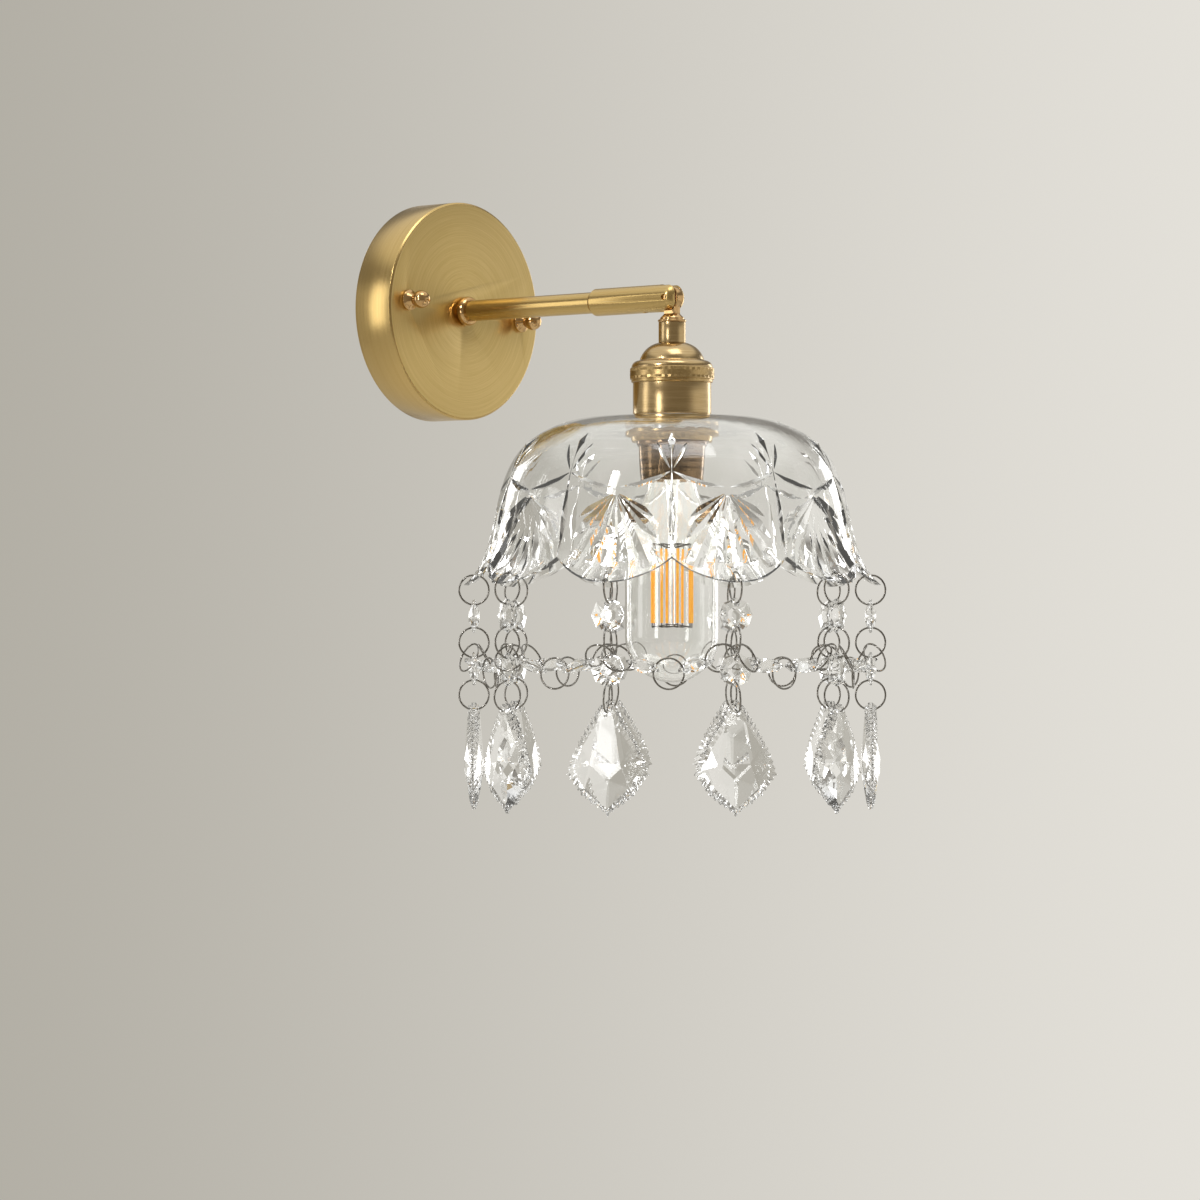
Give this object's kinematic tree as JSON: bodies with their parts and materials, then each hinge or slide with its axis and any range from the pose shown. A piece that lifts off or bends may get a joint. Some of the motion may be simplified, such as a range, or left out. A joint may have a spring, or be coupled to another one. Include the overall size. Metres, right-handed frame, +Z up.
{
  "type": "wall light",
  "caption": "Wall light with a round brass plate, straight arm and tilting lamp holder, a fluted clear glass bell shade and a fringe of linked crystal beads and leaf pendants.",
  "frame": {"origin": "centre of the wall screw slots, on the wall plane at the centre of the backplate's rear face", "axes": "+Z up, the arm points to -Y, +Y points into the wall, +X to the right seen by someone facing the wall"},
  "size_m": [0.2218, 0.2887, 0.3311],
  "materials": {
    "satin_brass": "satin brushed brass under clear lacquer",
    "polished_brass": "polished brass",
    "zinc_steel": "zinc plated steel",
    "contact_brass": "bare brass",
    "white_nylon": "moulded nylon",
    "fibre_washer": "fibre",
    "clear_gasket": "translucent silicone",
    "brown_bakelite": "moulded bakelite",
    "cap_aluminium": "rolled thread",
    "black_vitrite": "fused glass insulator",
    "bulb_clear_glass": "clear blown glass",
    "filament_phosphor": "phosphor coated rod",
    "filament_wire": "dark nickel wire",
    "pressed_glass": "pressed clear glass with cut fans",
    "cut_crystal": "cut and polished crystal",
    "bright_wire": "bright plated wire"
  },
  "bodies": {
    "wall_arm": {"backplate": "satin_brass", "mounting_bracket": "zinc_steel", "bracket_studs": "zinc_steel", "stud_lock_nuts": "zinc_steel", "cap_nuts": "polished_brass", "earth_screw": "contact_brass", "terminal_block": "white_nylon", "arm_nipple": "zinc_steel", "lock_washer": "zinc_steel", "arm_lock_nut": "zinc_steel", "arm_tube": "satin_brass", "arm_root_ring": "polished_brass", "arm_sleeve": "satin_brass", "knuckle_pin": "polished_brass", "knuckle_washers": "fibre_washer"},
    "lamp_head": {"knuckle_tongue": "satin_brass", "neck_ring": "polished_brass", "neck_tube": "satin_brass", "neck_nipple": "zinc_steel", "socket_cap": "satin_brass", "knurled_collar": "satin_brass", "socket_shell": "satin_brass", "lampholder_body": "brown_bakelite", "screw_contact_shell": "contact_brass", "centre_contact": "contact_brass", "shade_gaskets": "clear_gasket", "shade_ring": "satin_brass", "bulb_cap": "cap_aluminium", "bulb_cap_insulator": "black_vitrite", "bulb_base_tip": "cap_aluminium", "bulb_glass": "bulb_clear_glass", "bulb_stem": "bulb_clear_glass", "filaments": "filament_phosphor", "filament_wires": "filament_wire", "shade_glass": "pressed_glass", "rim_rings": "bright_wire", "upper_beads": "cut_crystal", "junction_rings": "bright_wire", "lower_beads": "cut_crystal", "pendant_rings": "bright_wire", "swag_rings": "bright_wire", "swag_beads": "cut_crystal"},
    "pendant_01": {"pendant_01": "cut_crystal"},
    "pendant_02": {"pendant_02": "cut_crystal"},
    "pendant_03": {"pendant_03": "cut_crystal"},
    "pendant_04": {"pendant_04": "cut_crystal"},
    "pendant_05": {"pendant_05": "cut_crystal"},
    "pendant_06": {"pendant_06": "cut_crystal"},
    "pendant_07": {"pendant_07": "cut_crystal"},
    "pendant_08": {"pendant_08": "cut_crystal"},
    "pendant_09": {"pendant_09": "cut_crystal"},
    "pendant_10": {"pendant_10": "cut_crystal"}
  },
  "joints": [
    {"name": "head_tilt", "type": "hinge", "parent": "wall_arm", "child": "lamp_head", "pos_m": [0, -0.1754, 0], "axis": [-1, 0, 0], "range_deg": [-12, 50]},
    {"name": "pendant_swing_01", "type": "hinge", "parent": "lamp_head", "child": "pendant_01", "pos_m": [-0.05564, -0.26444, -0.21055], "axis": [-0.848, 0.5299, 0], "range_deg": [-30, 30]},
    {"name": "pendant_swing_02", "type": "hinge", "parent": "lamp_head", "child": "pendant_02", "pos_m": [0.00732, -0.28014, -0.21055], "axis": [-0.9976, -0.0698, 0], "range_deg": [-30, 30]},
    {"name": "pendant_swing_03", "type": "hinge", "parent": "lamp_head", "child": "pendant_03", "pos_m": [0.06749, -0.25583, -0.21055], "axis": [-0.766, -0.6428, 0], "range_deg": [-30, 30]},
    {"name": "pendant_swing_04", "type": "hinge", "parent": "lamp_head", "child": "pendant_04", "pos_m": [0.10188, -0.2008, -0.21055], "axis": [-0.2419, -0.9703, 0], "range_deg": [-30, 30]},
    {"name": "pendant_swing_05", "type": "hinge", "parent": "lamp_head", "child": "pendant_05", "pos_m": [0.09735, -0.13607, -0.21055], "axis": [0.3746, -0.9272, 0], "range_deg": [-30, 30]},
    {"name": "pendant_swing_06", "type": "hinge", "parent": "lamp_head", "child": "pendant_06", "pos_m": [0.05564, -0.08636, -0.21055], "axis": [0.848, -0.5299, 0], "range_deg": [-30, 30]},
    {"name": "pendant_swing_07", "type": "hinge", "parent": "lamp_head", "child": "pendant_07", "pos_m": [-0.00732, -0.07066, -0.21055], "axis": [0.9976, 0.0698, 0], "range_deg": [-30, 30]},
    {"name": "pendant_swing_08", "type": "hinge", "parent": "lamp_head", "child": "pendant_08", "pos_m": [-0.06749, -0.09496, -0.21055], "axis": [0.766, 0.6428, 0], "range_deg": [-30, 30]},
    {"name": "pendant_swing_09", "type": "hinge", "parent": "lamp_head", "child": "pendant_09", "pos_m": [-0.10188, -0.15, -0.21055], "axis": [0.2419, 0.9703, 0], "range_deg": [-30, 30]},
    {"name": "pendant_swing_10", "type": "hinge", "parent": "lamp_head", "child": "pendant_10", "pos_m": [-0.09735, -0.21473, -0.21055], "axis": [-0.3746, 0.9272, 0], "range_deg": [-30, 30]}
  ]
}
